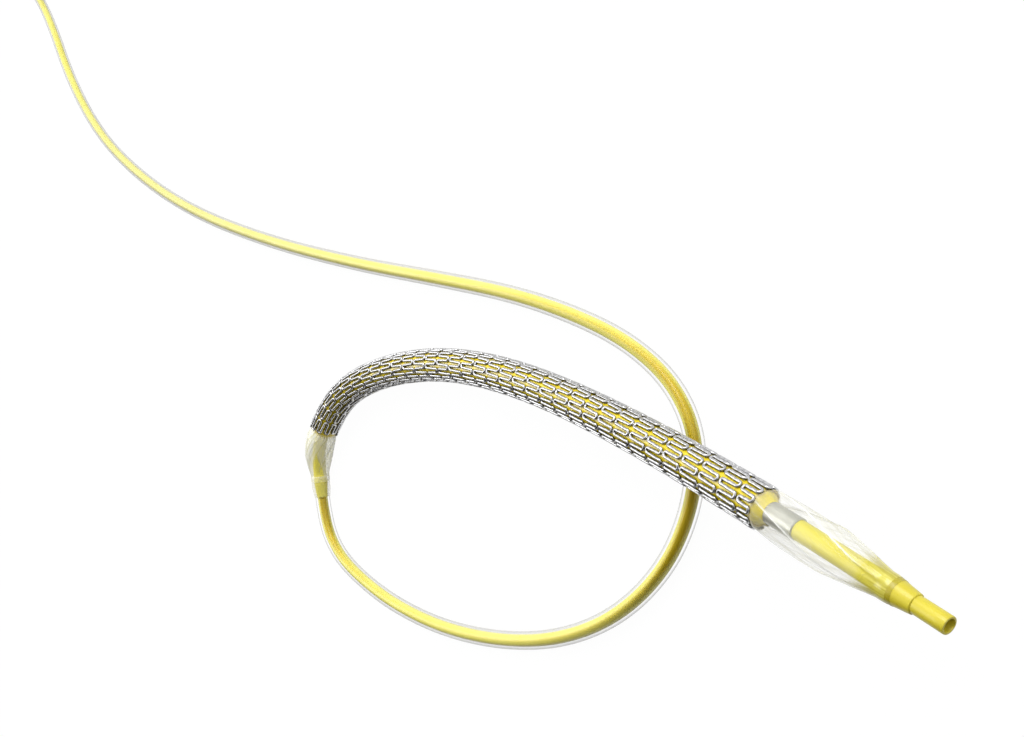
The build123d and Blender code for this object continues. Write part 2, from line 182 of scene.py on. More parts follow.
class Finish:
    """Material with a Principled shader, and the grain of its surface ready for use."""

    def __init__(self, name, grains_per_metre):
        self.material = bpy.data.materials.new(name)
        self.material.use_nodes = True
        self.tree = self.material.node_tree
        self.shader = self.tree.nodes["Principled BSDF"]
        self.place = self.node("ShaderNodeTexCoord").outputs["Object"]
        grain = self.node("ShaderNodeGroup")
        grain.node_tree = grain_group
        grain.inputs["Grains per metre"].default_value = grains_per_metre
        self.link(self.place, grain.inputs["Position"])
        self.mottle = grain.outputs["Mottle"]
        self.grain = grain.outputs["Grain"]

    def node(self, kind, **settings):
        made = self.tree.nodes.new(kind)
        for setting, value in settings.items():
            setattr(made, setting, value)
        return made

    def link(self, output, socket):
        self.tree.links.new(output, socket)

    def set(self, **values):
        """Plain values on the shader's own sockets, named with _ for a space."""
        for socket, value in values.items():
            self.shader.inputs[socket.replace("_", " ")].default_value = value

    def ramp(self, factor, low, high, start=0.35, end=0.65):
        """Colour that goes from low to high as the factor goes from start to end."""
        ramp = self.node("ShaderNodeValToRGB")
        ramp.color_ramp.elements[0].position = start
        ramp.color_ramp.elements[0].color = (*low, 1.0)
        ramp.color_ramp.elements[1].position = end
        ramp.color_ramp.elements[1].color = (*high, 1.0)
        self.link(factor, ramp.inputs["Fac"])
        return ramp.outputs["Color"]

    def spread(self, factor, low, high, start=0.3, end=0.7):
        """Number that goes from low to high as the factor goes from start to end."""
        spread = self.node("ShaderNodeMapRange")
        spread.inputs["From Min"].default_value = start
        spread.inputs["From Max"].default_value = end
        spread.inputs["To Min"].default_value = low
        spread.inputs["To Max"].default_value = high
        self.link(factor, spread.inputs["Value"])
        return spread.outputs["Result"]

    def mix(self, factor, low, high, **settings):
        """Colour between two colours, each an output or plain values."""
        mix = self.node("ShaderNodeMix", data_type="RGBA", **settings)
        for value, socket in ((factor, "Factor"), (low, "A"), (high, "B")):
            if isinstance(value, bpy.types.NodeSocket):
                self.link(value, mix.inputs[socket])
            else:
                mix.inputs[socket].default_value = value
        return mix.outputs["Result"]

    def attribute(self, name):
        """Value stored on the piece's own mesh."""
        return self.node("ShaderNodeAttribute", attribute_name=name).outputs["Fac"]

    def facing(self, blend=0.5):
        """0 where the wall is seen square on, 1 where it is seen along its surface."""
        wall = self.node("ShaderNodeLayerWeight")
        wall.inputs["Blend"].default_value = blend
        return wall.outputs["Facing"]

    def bump(self, height, depth, strength=0.4):
        bump = self.node("ShaderNodeBump")
        bump.inputs["Strength"].default_value = strength
        bump.inputs["Distance"].default_value = depth
        self.link(height, bump.inputs["Height"])
        self.link(bump.outputs["Normal"], self.shader.inputs["Normal"])

    def colour(self, output):
        self.link(output, self.shader.inputs["Base Color"])

    def mottled(self, low, high):
        self.colour(self.ramp(self.mottle, low, high))

    def rough(self, low, high):
        self.link(self.spread(self.grain, low, high), self.shader.inputs["Roughness"])

    def clear(self, square_on, along, start, end):
        """Opacity of a clear wall, from where it is seen square on to its outline."""
        self.link(self.spread(self.facing(), square_on, along, start, end),
                  self.shader.inputs["Alpha"])


shaft_core = spline_through("shaft_core", shaft_points, SPLINE_STEPS, CORE_DIAMETER, 5)
shaft_liner = spline_through("shaft_liner", shaft_points, SPLINE_STEPS, LINER_DIAMETER, 6)
shaft = spline_through("catheter_shaft_tube", shaft_points, SPLINE_STEPS, SHAFT_DIAMETER, 9)

core_mustard = Finish("core_mustard", 9000)
core_mustard.mottled((0.66, 0.50, 0.018), (0.69, 0.53, 0.021))
core_mustard.rough(0.3, 0.45)

liner_yellow = Finish("liner_yellow", 9000)
liner_yellow.mottled((0.86, 0.80, 0.17), (0.90, 0.84, 0.20))
liner_yellow.rough(0.25, 0.4)
liner_yellow.clear(0.0, 0.97, 0.16, 0.46)

clear_tube = Finish("clear_outer_tube", 5000)
clear_tube.mottled((0.50, 0.50, 0.48), (0.54, 0.54, 0.52))
clear_tube.rough(0.16, 0.2)
clear_tube.clear(0.0, 0.45, 0.45, 0.8)
clear_tube.set(IOR=1.45)

for piece, finish in ((shaft_core, core_mustard), (shaft_liner, liner_yellow),
                      (shaft, clear_tube)):
    piece.data.materials.append(finish.material)
    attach(piece, "root")
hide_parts("catheter_shaft", "catheter_coil", "hub_lead")

# Places along the balloon: everything from the bond to the tip is threaded on one line,
# which starts at the shaft's end, rises over the shaft's loop and ends at the open tip.
STENT_ROUTE = [
    (-0.0193, -0.0038, 0.00050),
    (-0.0195, -0.0026, 0.00057),
    (-0.0191, -0.0009, 0.00088),
    (-0.0182, 0.0005, 0.00084),
    (-0.0166, 0.0019, 0.00084),
    (-0.0143, 0.0028, 0.00084),
    (-0.0111, 0.0034, 0.00084),
    (-0.0069, 0.0036, 0.00088),
    (-0.0018, 0.0030, 0.00104),
    (0.0039, 0.0016, 0.00135),
    (0.0119, -0.0009, 0.00215),
    (0.01978, -0.0038, 0.00304),
]
GUIDE_STEPS = 40
BOND_END = 0.0009          # lengths along the line from here on
COLLAR_END = 0.0012
STENT_START = 0.0039
STENT_END = 0.0370
BALLOON_END = 0.0422
INNER_END = 0.0427
SLEEVE_END = 0.0433

guide_line = places_on([Vector(point) for point in STENT_ROUTE], GUIDE_STEPS)
guide_lengths = [0.0]
for before, after in zip(guide_line, guide_line[1:]):
    guide_lengths.append(guide_lengths[-1] + (after - before).length)
TIP_END = guide_lengths[-1]


def round_the_line(length, angle, radius):
    """Point at an angle round the balloon's line, at that length and distance from it."""
    low, high = 0, len(guide_line) - 2
    while low < high:
        middle = (low + high + 1) // 2
        if guide_lengths[middle] <= length:
            low = middle
        else:
            high = middle - 1
    run = guide_line[low + 1] - guide_line[low]
    share = (length - guide_lengths[low]) / run.length
    before = guide_line[max(low - 1, 0)]
    after = guide_line[min(low + 2, len(guide_line) - 1)]
    bend_in = (guide_line[low + 1] - before).normalized()
    bend_out = (after - guide_line[low]).normalized()
    forward = bend_in.lerp(bend_out, min(max(share, 0.0), 1.0)).normalized()
    side = Vector((0, 0, 1)).cross(forward).normalized()
    out = side * math.cos(angle) + forward.cross(side) * math.sin(angle)
    return guide_line[low] + run * share + out * radius


RING_STEP = 0.0004         # the longest run of a wall between two rings


def ring_blank(count, sides):
    """Straight open tube of unit radius, with its rings at whole heights."""
    blank = bmesh.new()
    bmesh.ops.create_circle(blank, segments=sides, radius=1.0)
    edge = blank.edges[:]
    for _ in range(count - 1):
        made = bmesh.ops.extrude_edge_only(blank, edges=edge)["geom"]
        lifted = {part for part in made if isinstance(part, bmesh.types.BMVert)}
        edge = [part for part in made
                if isinstance(part, bmesh.types.BMEdge) and set(part.verts) <= lifted]
        bmesh.ops.translate(blank, vec=(0, 0, 1), verts=list(lifted))
    return blank


def finished(name, blank, sharp=35.0):
    """Object with that shape, smooth apart from its edges."""
    mesh = bpy.data.meshes.new(name)
    blank.to_mesh(mesh)
    blank.free()
    mesh.shade_smooth()
    mesh.set_sharp_from_angle(angle=math.radians(sharp))
    made = bpy.data.objects.new(name, mesh)
    bpy.context.scene.collection.objects.link(made)
    return made


def threaded(name, profile, sides):
    """Round piece on the balloon's line, its wall through (length, radius) corners."""
    rings = []
    for (start, inner), (end, outer) in zip(profile, profile[1:] + profile[:1]):
        count = max(1, math.ceil(abs(end - start) / RING_STEP))
        rings += [(start + (end - start) * i / count, inner + (outer - inner) * i / count)
                  for i in range(count)]
    blank = ring_blank(len(rings), sides)
    bmesh.ops.bridge_loops(blank, edges=[edge for edge in blank.edges if edge.is_boundary])
    for vertex in blank.verts:
        length, radius = rings[round(vertex.co.z)]
        angle = math.atan2(vertex.co.y, vertex.co.x)
        vertex.co = round_the_line(length, angle, radius)
    bmesh.ops.recalc_face_normals(blank, faces=blank.faces)
    return finished(name, blank)


def put(piece, finish, slot, *nodes):
    """Gives a piece its finish, and its place on the catheter."""
    piece.data.materials.append(finish.material)
    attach(piece, "root")
    if nodes:
        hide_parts(*nodes)


# Inner tube: extruded yellow polymer with the guidewire's lumen. It runs through the balloon
# from the bond to the soft tip.
INNER_RADIUS = 0.00035
LUMEN_RADIUS = 0.00021
BONDED_RADIUS = 0.00029    # where it is drawn down into the shaft
FLARED_RADIUS = 0.00037    # where it leaves the bond
inner_tube = threaded("inner_tube_wall", [
    (0.0, BONDED_RADIUS), (BOND_END, FLARED_RADIUS), (COLLAR_END, INNER_RADIUS),
    (INNER_END, INNER_RADIUS), (INNER_END, LUMEN_RADIUS), (0.0, LUMEN_RADIUS),
], 32)
lumen_yellow = Finish("lumen_yellow", 9000)
lumen_yellow.mottled((0.67, 0.59, 0.03), (0.73, 0.65, 0.04))
lumen_yellow.rough(0.3, 0.45)
lumen_yellow.bump(lumen_yellow.grain, 0.000004)
put(inner_tube, lumen_yellow, "yellow_polymer", "inner_tube")

# Marker bands: two short satin platinum tubes on the inner tube, which show on an X-ray
# screen where the stent lies. One is under its first end and one just beyond its last.
MARKER_RADIUS = 0.0004
MARKER_LENGTH = 0.0013
MARKER_EDGE = 0.00003
DISTAL_MARKER = STENT_END + 0.00025
marker_satin = Finish("marker_satin", 14000)
marker_satin.mottled((0.42, 0.42, 0.37), (0.52, 0.52, 0.46))
marker_satin.rough(0.35, 0.5)
marker_satin.bump(marker_satin.grain, 0.000003)
marker_satin.set(Metallic=0.85)
for name, start in (("proximal_marker", STENT_START), ("distal_marker", DISTAL_MARKER)):
    end = start + MARKER_LENGTH
    band = threaded(name + "_band", [
        (start, INNER_RADIUS), (start, MARKER_RADIUS - MARKER_EDGE),
        (start + MARKER_EDGE, MARKER_RADIUS), (end - MARKER_EDGE, MARKER_RADIUS),
        (end, MARKER_RADIUS - MARKER_EDGE), (end, INNER_RADIUS),
    ], 24)
    put(band, marker_satin, "marker_metal", name)

# Balloon: thin clear film, folded into pleats that wrap round the inner tube. The stent's
# crimping presses it flat and golden over the tube; its two cones stay clear outside it.
PLEATS = 5
FREE_EDGE = 0.9            # share of a pleat where its edge lies and the film drops
CREST_START = 0.92         # of a fold's height, over which a highlight is painted on it
SHOULDER_RADIUS = 0.00082
RING_RADIUS = 0.00052
BULGE_RADIUS = 0.00084
NECK_RADIUS = 0.00047
LAP_RADIUS = 0.00046
UNDER_RADIUS = 0.00068     # under the stent
DEEP = 0.10                # of a fold in the cones, over the film's radius
SHALLOW = 0.05             # of a fold under the stent
TWIST = 1.3
STENT_STEP = 0.0001        # in which the film dips under the stent
DIP_RADIUS = SHOULDER_RADIUS - 0.00006
FILM_THICKNESS = 0.00001
BALLOON_LAP = BALLOON_END + 0.0003
GOLD_FADE = 0.0002         # in which the pressed film turns clear at the stent's ends
STREAK_RUN = 60.0          # draw lines are long against their width
GRIP_LENGTH = 0.0007       # beyond the stent's ends, where the film lies bunched
GRIP_LAYERS = 0.03
DISTAL_LAYERS = 0.16
PROXIMAL_LAYERS = 0.5
NECK_RUN = 0.0013          # where the film draws together on the yellow tip
NECK_EASE = 1.4
NECK_VEIL = 0.8
WINDOW_ANGLE = 2.45        # the gap between two folds that shows the inner tube
WINDOW_WIDTH = 0.75
WINDOW_END = 0.0031
WINDOW_EDGE = 4.0
WINDOW_CLEAR = 0.85
FILM_SIDES = 160
FILM_STEP = 0.0001
proximal_cone = STENT_START - COLLAR_END
distal_cone = BALLOON_END - STENT_END
widen = SHOULDER_RADIUS - NECK_RADIUS
BALLOON_STATIONS = [       # length, radius, depth of the folds, twist
    (COLLAR_END, RING_RADIUS - FILM_THICKNESS, 0.0, -TWIST),
    (COLLAR_END + 0.00015, RING_RADIUS, 0.0, -0.85 * TWIST),
    (COLLAR_END + 0.25 * proximal_cone, NECK_RADIUS + 0.55 * widen, 0.5 * DEEP, -0.7 * TWIST),
    (COLLAR_END + 0.45 * proximal_cone, NECK_RADIUS + 0.88 * widen, 0.4 * DEEP, -0.5 * TWIST),
    (COLLAR_END + 0.65 * proximal_cone, SHOULDER_RADIUS, 0.5 * DEEP, -0.3 * TWIST),
    (COLLAR_END + 0.86 * proximal_cone, SHOULDER_RADIUS, 0.4 * DEEP, -0.15 * TWIST),
    (STENT_START - STENT_STEP, DIP_RADIUS, 0.3 * DEEP, 0.0),
    (STENT_START + STENT_STEP, UNDER_RADIUS, SHALLOW, 0.0),
    (STENT_END - STENT_STEP, UNDER_RADIUS, SHALLOW, 0.0),
    (STENT_END + STENT_STEP, DIP_RADIUS, 0.5 * DEEP, 0.0),
    (STENT_END + 0.20 * distal_cone, SHOULDER_RADIUS, DEEP, 0.2 * TWIST),
    (STENT_END + 0.38 * distal_cone, BULGE_RADIUS, DEEP, 0.4 * TWIST),
    (STENT_END + 0.55 * distal_cone, BULGE_RADIUS, DEEP, 0.6 * TWIST),
    (STENT_END + 0.68 * distal_cone, BULGE_RADIUS - 0.25 * widen, DEEP, 0.75 * TWIST),
    (STENT_END + 0.80 * distal_cone, BULGE_RADIUS - 0.55 * widen, 0.7 * DEEP, 0.88 * TWIST),
    (STENT_END + 0.90 * distal_cone, BULGE_RADIUS - 0.85 * widen, 0.3 * DEEP, 0.95 * TWIST),
    (BALLOON_END - 0.0001, NECK_RADIUS, 0.0, TWIST),
    (BALLOON_END, LAP_RADIUS + FILM_THICKNESS, 0.0, TWIST),
    (BALLOON_END + 0.00016, LAP_RADIUS + FILM_THICKNESS, 0.0, TWIST),
    (BALLOON_LAP, LAP_RADIUS - FILM_THICKNESS, 0.0, TWIST),
]


def fold_rise(turn):
    """Height of the film across one pleat: it rises slowly and drops at the free edge."""
    across = turn % 1.0
    return across / FREE_EDGE if across < FREE_EDGE else (1.0 - across) / (1.0 - FREE_EDGE)


def station_at(length):
    """Radius, fold depth and twist of the film at a length, between its stations."""
    for low, high in zip(BALLOON_STATIONS, BALLOON_STATIONS[1:]):
        if length <= high[0]:
            share = min(max((length - low[0]) / (high[0] - low[0]), 0.0), 1.0)
            return [a + (b - a) * share for a, b in zip(low[1:], high[1:])]
    return BALLOON_STATIONS[-1][1:]


def layers_at(length, angle, rise):
    """How much film lies on itself: most at the crests and where the stent grips it."""
    grip = max(STENT_START - length, length - STENT_END) / GRIP_LENGTH
    bunched = min(max(1.0 - grip, 0.0), 1.0) * GRIP_LAYERS
    if length > STENT_START:
        return min(DISTAL_LAYERS * rise + bunched, 1.0)
    across = abs(angle - WINDOW_ANGLE) / WINDOW_WIDTH
    along = (WINDOW_END - length) / (WINDOW_END - COLLAR_END)
    inside = min(max((along - across) * WINDOW_EDGE, 0.0), 1.0)
    return min(PROXIMAL_LAYERS + bunched, 1.0) * (1.0 - WINDOW_CLEAR * inside)


film_rings = round((BALLOON_LAP - COLLAR_END) / FILM_STEP)
skin = ring_blank(film_rings + 1, FILM_SIDES)
crest_of = skin.verts.layers.float.new("fold_crest")
gold_of = skin.verts.layers.float.new("pressed_gold")
streak_of = skin.verts.layers.float_vector.new("film_place")
layers_of = skin.verts.layers.float.new("film_layers")
neck_of = skin.verts.layers.float.new("drawn_neck")
for vertex in skin.verts:
    length = COLLAR_END + FILM_STEP * vertex.co.z
    angle = math.atan2(vertex.co.y, vertex.co.x)
    radius, depth, twist = station_at(length)
    rise = fold_rise((angle - twist) * PLEATS / (2 * math.pi))
    vertex[crest_of] = max(0.0, (rise - CREST_START) / (1.0 - CREST_START)) * depth / DEEP
    inside = min(length - STENT_START, STENT_END - length) / GOLD_FADE
    vertex[gold_of] = min(max(inside, 0.0), 1.0)
    drawn = max(1.0 - (BALLOON_END - length) / NECK_RUN, 0.0)
    vertex[neck_of] = NECK_VEIL * min(drawn, 1.0) ** NECK_EASE
    vertex[layers_of] = layers_at(length, angle, rise)
    vertex[streak_of] = (math.cos(angle - twist), math.sin(angle - twist), STREAK_RUN * length)
    vertex.co = round_the_line(length, angle, radius * (1 - depth * (1 - rise)))
bmesh.ops.recalc_face_normals(skin, faces=skin.faces)
film = finished("balloon_film", skin, 60)

film_clear = Finish("balloon_film", 6000)
lie = film_clear.node("ShaderNodeAttribute", attribute_name="film_place")
streaks = film_clear.node("ShaderNodeTexNoise")
streaks.inputs["Scale"].default_value = 7.0
streaks.inputs["Detail"].default_value = 3.0
film_clear.link(lie.outputs["Vector"], streaks.inputs["Vector"])
streak = streaks.outputs["Fac"]
crest = film_clear.attribute("fold_crest")
neck = film_clear.attribute("drawn_neck")
pressed = film_clear.attribute("pressed_gold")
pale = film_clear.ramp(streak, (0.66, 0.64, 0.36), (1.0, 1.0, 0.90), 0.34, 0.5)
olive = film_clear.ramp(streak, (0.50, 0.44, 0.04), (0.74, 0.68, 0.12), 0.4, 0.6)
gold = film_clear.ramp(streak, (0.84, 0.64, 0.02), (0.98, 0.79, 0.04))
# Painted highlight: the fold crests are coloured near-white and made more opaque.
crest_painted_highlight = film_clear.mix(crest, pale, (0.98, 0.98, 0.95, 1.0))
necked = film_clear.mix(film_clear.spread(neck, 0.0, 1.0, 0.0, 0.3), crest_painted_highlight, olive)
film_clear.colour(film_clear.mix(pressed, necked, gold))
veils = [film_clear.spread(film_clear.facing(0.3), 0.05, 0.6, 0.25, 1.0),
         film_clear.spread(streak, 0.16, 0.0, 0.32, 0.52),
         film_clear.spread(crest, 0.0, 0.75, 0.0, 1.0),
         film_clear.attribute("film_layers"), neck, pressed]
opacity = veils[0]
for veil in veils[1:]:
    added = film_clear.node("ShaderNodeMath", operation="ADD", use_clamp=True)
    film_clear.link(opacity, added.inputs[0])
    film_clear.link(veil, added.inputs[1])
    opacity = added.outputs[0]
film_clear.link(opacity, film_clear.shader.inputs["Alpha"])
film_clear.rough(0.12, 0.25)
film_clear.bump(streak, 0.00001, 0.3)
film_clear.set(IOR=1.5, Coat_Weight=0.4, Coat_Roughness=0.1)
film.visible_shadow = False
put(film, film_clear, "balloon_film", "balloon")

# Pressed folds: at both ends of the stent the golden film runs down to the inner tube, so
# that no gap shows under the wire.
FOLD_SLOPE = [             # length past the stent's end and radius
    (-0.0003, 0.00064), (-0.00005, 0.0006), (0.00008, 0.00048),
    (0.00024, INNER_RADIUS + 0.00002), (0.00024, INNER_RADIUS), (-0.0003, INNER_RADIUS),
]
folds_gold = Finish("pressed_folds", 9000)
folds_gold.mottled((0.84, 0.68, 0.02), (0.94, 0.80, 0.04))
folds_gold.rough(0.3, 0.45)
for name, end, out in (("proximal_folds", STENT_START, -1.0),
                       ("distal_folds", STENT_END, 1.0)):
    slope = [(end + out * along, radius) for along, radius in FOLD_SLOPE]
    put(threaded(name, slope, 48), folds_gold, "balloon_film")

# Stent: one round cobalt-chrome wire, bent to a wave and wound round the balloon as a helix.
# Its crowns meet head on, its end turns run out flat, and its outer side is polished, with
# the fine slanted lines that its drawing and winding leave. Its flanks are coloured near-black
# as painted shade.
WIRE = 0.00012
WIRE_RADIUS = 0.000745     # from the line to the middle of the wire
WAVES_PER_TURN = 11.5
ROW_PITCH = 0.000979
CROWN_GAP = 0.000045
END_WAVE = 0.00036
START_ANGLE = math.radians(235.0)
CROWN_DEPTH = 0.00022      # from a crown's top to where its curve starts
FULL_WAVE = 3 * CROWN_DEPTH    # lower waves, at the ends, have shallower crowns
CROWN_WIDTH = 1.06         # over the spacing of the struts, as crowns bulge
NECK_WIDTH = 0.88
half_angle = math.pi / WAVES_PER_TURN
half_crown = half_angle / 2
wave_height = ROW_PITCH - WIRE - CROWN_GAP
first_row = STENT_START + WIRE / 2
last_row = STENT_END - WIRE / 2
stent_turns = (last_row - first_row - END_WAVE + wave_height) / ROW_PITCH
crowns = []
wire_points = []
for k in range(int(stent_turns * 2 * WAVES_PER_TURN)):
    angle = START_ANGLE + k * half_angle
    distal = first_row + END_WAVE + ROW_PITCH * k * half_angle / (2 * math.pi)
    top = min(distal, last_row)
    bottom = max(distal - wave_height, first_row)
    crown, depth = (top, -CROWN_DEPTH) if k % 2 else (bottom, CROWN_DEPTH)
    depth *= min(1.0, (top - bottom) / FULL_WAVE)
    crowns.append((crown, angle))
    for along, aside in ((depth, -NECK_WIDTH), (0.0, -CROWN_WIDTH), (0.0, CROWN_WIDTH),
                         (depth, NECK_WIDTH)):
        wire_points.append(round_the_line(crown + along, angle + aside * half_crown, WIRE_RADIUS))
wire_curve = spline_through("wire", wire_points, 3, WIRE, 2)
wire_mesh = bpy.data.meshes.new_from_object(wire_curve)
bpy.data.objects.remove(wire_curve)
wire_mesh.name = "stent_wire"
wire_mesh.shade_smooth()
stent = bpy.data.objects.new("stent_wire", wire_mesh)
bpy.context.scene.collection.objects.link(stent)

line_finder = KDTree(len(guide_line))
for index, point in enumerate(guide_line):
    line_finder.insert(point, index)
line_finder.balance()
outer_side = wire_mesh.attributes.new("outer_side", "FLOAT", "POINT")
for vertex in wire_mesh.vertices:
    _, nearest, _ = line_finder.find(vertex.co)
    nearest = min(max(nearest, 1), len(guide_line) - 2)
    forward = (guide_line[nearest + 1] - guide_line[nearest - 1]).normalized()
    reach = vertex.co - guide_line[nearest]
    reach -= forward * reach.dot(forward)
    outer_side.data[vertex.index].value = (reach.length - WIRE_RADIUS) / WIRE + 0.5

wire_polish_and_shade = Finish("stent_polish_painted_shade", 26000)
# Painted shade: the wire's flanks are coloured near-black, and only its outer side keeps the
# metal's light grey.
painted_flank_shade = wire_polish_and_shade.ramp(wire_polish_and_shade.attribute("outer_side"), (0.035, 0.035, 0.035),
                           (0.64, 0.64, 0.65), 0.30, 0.62)
twist_lines = wire_polish_and_shade.node("ShaderNodeTexWave", bands_direction="DIAGONAL")
twist_lines.inputs["Scale"].default_value = 3500.0
twist_lines.inputs["Distortion"].default_value = 1.0
wire_polish_and_shade.link(wire_polish_and_shade.place, twist_lines.inputs["Vector"])
hatching = wire_polish_and_shade.ramp(twist_lines.outputs["Fac"], (0.78, 0.78, 0.78), (1.0, 1.0, 1.0),
                            0.3, 0.6)
wire_polish_and_shade.colour(wire_polish_and_shade.mix(1.0, painted_flank_shade, hatching, blend_type="MULTIPLY"))
wire_polish_and_shade.rough(0.24, 0.34)
wire_polish_and_shade.bump(wire_polish_and_shade.grain, 0.000003, 0.3)
wire_polish_and_shade.set(Metallic=1.0)
put(stent, wire_polish_and_shade, "stent_alloy", "stent")

# Crown welds: small laser spots that join facing crowns of neighbouring turns, one to about
# every eight half waves. Their melted tops stay a little duller than the wire.
WELD_EVERY = 8
WELD_RADIUS = 0.00005
per_turn = round(2 * WAVES_PER_TURN)
spots = bmesh.new()
for k in range(1, len(crowns) - per_turn, WELD_EVERY):
    length = (crowns[k][0] + crowns[k + per_turn][0]) / 2
    middle = round_the_line(length, crowns[k][1], WIRE_RADIUS)
    bmesh.ops.create_icosphere(spots, subdivisions=2, radius=WELD_RADIUS,
                               matrix=Matrix.Translation(middle))
weld_spots = finished("weld_spots", spots, 80)
weld_melt = Finish("weld_melt", 30000)
weld_melt.mottled((0.38, 0.38, 0.38), (0.55, 0.55, 0.55))
weld_melt.rough(0.35, 0.55)
weld_melt.bump(weld_melt.grain, 0.000006)
weld_melt.set(Metallic=1.0)
put(weld_spots, weld_melt, "stent_alloy", "crown_welds")

# Bond: the balloon's neck is melted on the shaft through a short translucent sleeve, and a
# paler raised ring closes it.
BOND_RADIUS = 0.0005
BOND_END_RADIUS = 0.00042
BOND_BORE = 0.00036        # at the shaft's end, and it widens to the ring
RING_BORE = 0.00042
RING_EDGE = 0.00008
RING_STEP_DOWN = 0.00002   # from the ring to the film that comes out under it
bond = threaded("bond_sleeve_wall", [
    (0.0, BOND_BORE), (0.0, BOND_END_RADIUS), (0.6 * BOND_END, BOND_RADIUS),
    (BOND_END, BOND_RADIUS), (BOND_END, RING_BORE),
], 40)
bond_clear = Finish("bond_polymer", 7000)
bond_clear.mottled((0.84, 0.83, 0.64), (0.92, 0.91, 0.76))
bond_clear.rough(0.2, 0.35)
bond_clear.clear(0.08, 0.4, 0.3, 0.9)
bond_clear.set(IOR=1.5)
bond.visible_shadow = False
put(bond, bond_clear, "bond_polymer", "bond_sleeve")
collar = threaded("bond_ring", [
    (BOND_END, INNER_RADIUS), (BOND_END, BOND_RADIUS),
    (BOND_END + RING_EDGE, RING_RADIUS), (COLLAR_END - RING_EDGE, RING_RADIUS),
    (COLLAR_END, RING_RADIUS - RING_STEP_DOWN), (COLLAR_END, INNER_RADIUS),
], 32)
ring_pale = Finish("bond_ring", 7000)
ring_pale.mottled((0.94, 0.93, 0.80), (0.98, 0.97, 0.88))
ring_pale.rough(0.2, 0.35)
ring_pale.clear(0.35, 0.65, 0.2, 0.9)
collar.visible_shadow = False
put(collar, ring_pale, "bond_polymer", "bond_collar")

# Tip: a yellow sleeve tapers from the balloon's neck, over a deeper yellow ring of bond, down
# to the soft tip, a short open tube that leads the catheter along its guidewire. The ring's
# dark amber is partly the bond's own yellow and partly painted shade on the sleeve's
# rounded shoulder.
TIP_RADIUS = 0.0003
SLEEVE_RADIUS = 0.00034
SLEEVE_EDGE = 0.00002
SLEEVE_TAPER = [           # length past the balloon's end and radius
    (0.00000, 0.00039), (0.00004, 0.00042), (0.00010, 0.000437), (0.00018, 0.000445),
    (0.00026, 0.000442), (0.00035, 0.000434), (0.00048, 0.00042), (0.00062, 0.0004),
    (0.00078, 0.00038), (0.00094, 0.00036),
]
BOND_RING = [
    (0.00000, 0.00038), (0.00000, 0.00041), (0.00010, 0.000446), (0.00020, 0.000453),
    (0.00040, 0.000439), (0.00047, 0.000429), (0.00047, 0.00038),
]
TIP_ROUND = 0.00004        # of the open end's outer edge
tip_sleeve = threaded("tip_sleeve_wall", [
    (BALLOON_END, INNER_RADIUS),
    *((BALLOON_END + past, radius) for past, radius in SLEEVE_TAPER),
    (SLEEVE_END - SLEEVE_EDGE, SLEEVE_RADIUS), (SLEEVE_END, SLEEVE_RADIUS - SLEEVE_EDGE),
    (SLEEVE_END, TIP_RADIUS), (INNER_END, TIP_RADIUS), (INNER_END, INNER_RADIUS),
], 40)
soft_tip = threaded("soft_tip_wall", [
    (INNER_END, LUMEN_RADIUS), (INNER_END, TIP_RADIUS), (TIP_END - TIP_ROUND, TIP_RADIUS),
    (TIP_END - 0.25 * TIP_ROUND, TIP_RADIUS - 0.25 * TIP_ROUND),
    (TIP_END, TIP_RADIUS - TIP_ROUND), (TIP_END, LUMEN_RADIUS + 0.5 * TIP_ROUND),
    (TIP_END - 0.75 * TIP_ROUND, LUMEN_RADIUS),
], 40)
tip_bond_and_shade = threaded(
    "tip_bond_ring_painted_shade", [(BALLOON_END + past, radius) for past, radius in BOND_RING], 40)
# Painted shade: this ring's dark amber stands in part for the shade on the sleeve's rounded
# shoulder.
bond_and_painted_shade = Finish("bond_amber_painted_shade", 9000)
bond_and_painted_shade.mottled((0.42, 0.35, 0.02), (0.48, 0.41, 0.03))
bond_and_painted_shade.rough(0.2, 0.35)
put(tip_bond_and_shade, bond_and_painted_shade, "yellow_polymer")
tip_yellow = Finish("tip_yellow", 9000)
tip_yellow.mottled((0.64, 0.54, 0.035), (0.70, 0.60, 0.045))
tip_yellow.rough(0.25, 0.4)
tip_yellow.bump(tip_yellow.grain, 0.000006)
tip_yellow.set(Subsurface_Weight=0.05, Subsurface_Scale=0.0002,
               Subsurface_Radius=(1.0, 0.8, 0.2))
put(tip_sleeve, tip_yellow, "yellow_polymer", "tip_sleeve")
put(soft_tip, tip_yellow, "yellow_polymer", "soft_tip")

# Coil tie: a thin white strip folded once round the wound shaft. It is the solid itself, like
# the strain relief and the hub, with a finish of its own.
tie_white = Finish("tie_strip", 4000)
tie_white.mottled((0.80, 0.80, 0.78), (0.88, 0.88, 0.86))
tie_white.rough(0.45, 0.6)
tie_white.bump(tie_white.grain, 0.00002)

# Strain relief: a ribbed soft sleeve moulded over the shaft where it enters the hub, in the
# shaft's own yellow.
relief_soft = Finish("relief_elastomer", 4000)
relief_soft.mottled((0.56, 0.44, 0.03), (0.64, 0.52, 0.04))
relief_soft.rough(0.45, 0.6)
relief_soft.bump(relief_soft.grain, 0.00002)

# Hub: one clear polycarbonate moulding with a straight arm for the guidewire, a slanted arm
# for the syringe that fills the balloon, and two finger wings.
hub_clear = Finish("hub_moulding", 2500)
hub_clear.mottled((0.56, 0.61, 0.63), (0.64, 0.68, 0.70))
hub_clear.rough(0.14, 0.24)
hub_clear.bump(hub_clear.grain, 0.00002)
hub_clear.set(IOR=1.58, Alpha=0.82, Coat_Weight=0.3)
for node, finish in (("coil_tie", tie_white), ("strain_relief", relief_soft),
                     ("hub_manifold", hub_clear)):
    solid_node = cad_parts[node]
    solid_node.data.materials.clear()
    solid_node.data.materials.append(finish.material)

# Places along the cord's own line, from the bond through the coil to the hub.
places = places_on(shaft_points, MEASURE_STEPS)

